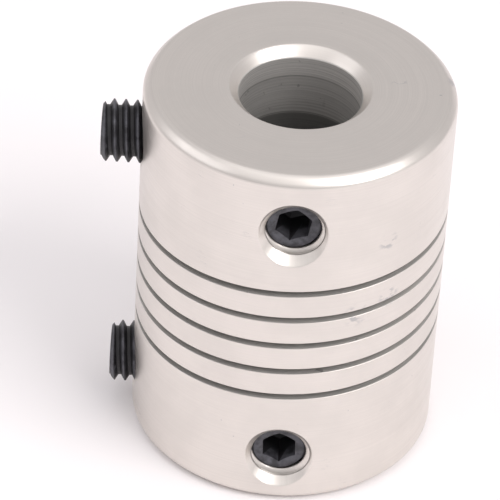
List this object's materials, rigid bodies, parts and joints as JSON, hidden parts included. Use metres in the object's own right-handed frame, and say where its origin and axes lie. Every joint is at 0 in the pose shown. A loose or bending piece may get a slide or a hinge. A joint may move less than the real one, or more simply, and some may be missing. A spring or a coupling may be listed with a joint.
{
  "type": "beam coupling",
  "caption": "Helical beam coupling machined from one aluminium bar, with a bore and two radial set screws at each end.",
  "frame": {"origin": "middle of the coupling, on the shafts' common axis, 12.5 mm above the lower end face", "axes": "+Z along the shafts' common axis, towards the 7.5 mm bore; -Y is the way the front set screws face and -X the way the side set screws face"},
  "size_m": [0.0214, 0.019, 0.025],
  "materials": {
    "lower_hub": "satin turned",
    "beam_turn_1": "satin turned",
    "beam_turn_2": "satin turned",
    "beam_turn_3_lower_half": "satin turned",
    "beam_turn_3_upper_half": "satin turned",
    "beam_turn_4": "satin turned",
    "upper_hub": "satin turned",
    "upper_front_set_screw": "black oxide",
    "upper_side_set_screw": "black oxide",
    "lower_front_set_screw": "black oxide",
    "lower_side_set_screw": "black oxide"
  },
  "bodies": {
    "lower_hub": {"lower_hub": "lower_hub"},
    "beam_turn_1": {"beam_turn_1": "beam_turn_1"},
    "beam_turn_2": {"beam_turn_2": "beam_turn_2"},
    "beam_turn_3_lower_half": {"beam_turn_3_lower_half": "beam_turn_3_lower_half"},
    "beam_turn_3_upper_half": {"beam_turn_3_upper_half": "beam_turn_3_upper_half"},
    "beam_turn_4": {"beam_turn_4": "beam_turn_4"},
    "upper_hub": {"upper_hub": "upper_hub"},
    "upper_front_set_screw": {"upper_front_set_screw": "upper_front_set_screw"},
    "upper_side_set_screw": {"upper_side_set_screw": "upper_side_set_screw"},
    "lower_front_set_screw": {"lower_front_set_screw": "lower_front_set_screw"},
    "lower_side_set_screw": {"lower_side_set_screw": "lower_side_set_screw"}
  },
  "joints": [
    {"name": "lower_tilt_x", "type": "hinge", "parent": "lower_hub", "child": "beam_turn_1", "pos_m": [0, 0, -0.004], "axis": [1, 0, 0], "range_deg": [-1.5, 1.5], "stiffness_Nm_per_rad": 1.8},
    {"name": "lower_tilt_y", "type": "hinge", "parent": "beam_turn_1", "child": "beam_turn_2", "pos_m": [0, 0, -0.002], "axis": [0, 1, 0], "range_deg": [-1.5, 1.5], "stiffness_Nm_per_rad": 1.8},
    {"name": "axial_float", "type": "slide", "parent": "beam_turn_2", "child": "beam_turn_3_lower_half", "axis": [0, 0, 1], "range_m": [-0.00025, 0.00025], "stiffness_N_per_m": 22500},
    {"name": "torsion", "type": "hinge", "parent": "beam_turn_3_lower_half", "child": "beam_turn_3_upper_half", "pos_m": [0, 0, 0], "axis": [0, 0, 1], "range_deg": [-1.5, 1.5], "stiffness_Nm_per_rad": 10.5},
    {"name": "upper_tilt_x", "type": "hinge", "parent": "beam_turn_3_upper_half", "child": "beam_turn_4", "pos_m": [0, 0, 0.002], "axis": [1, 0, 0], "range_deg": [-1.5, 1.5], "stiffness_Nm_per_rad": 1.8},
    {"name": "upper_tilt_y", "type": "hinge", "parent": "beam_turn_4", "child": "upper_hub", "pos_m": [0, 0, 0.004], "axis": [0, 1, 0], "range_deg": [-1.5, 1.5], "stiffness_Nm_per_rad": 1.8},
    {"name": "upper_front_screw_travel", "type": "slide", "parent": "upper_hub", "child": "upper_front_set_screw", "axis": [0, -1, 0], "range_m": [-0.0007, 0.0028]},
    {"name": "upper_side_screw_travel", "type": "slide", "parent": "upper_hub", "child": "upper_side_set_screw", "axis": [-1, 0, 0], "range_m": [-0.0035, 0.0007]},
    {"name": "lower_front_screw_travel", "type": "slide", "parent": "lower_hub", "child": "lower_front_set_screw", "axis": [0, -1, 0], "range_m": [-0.0007, 0.0028]},
    {"name": "lower_side_screw_travel", "type": "slide", "parent": "lower_hub", "child": "lower_side_set_screw", "axis": [-1, 0, 0], "range_m": [-0.0035, 0.0014]}
  ]
}
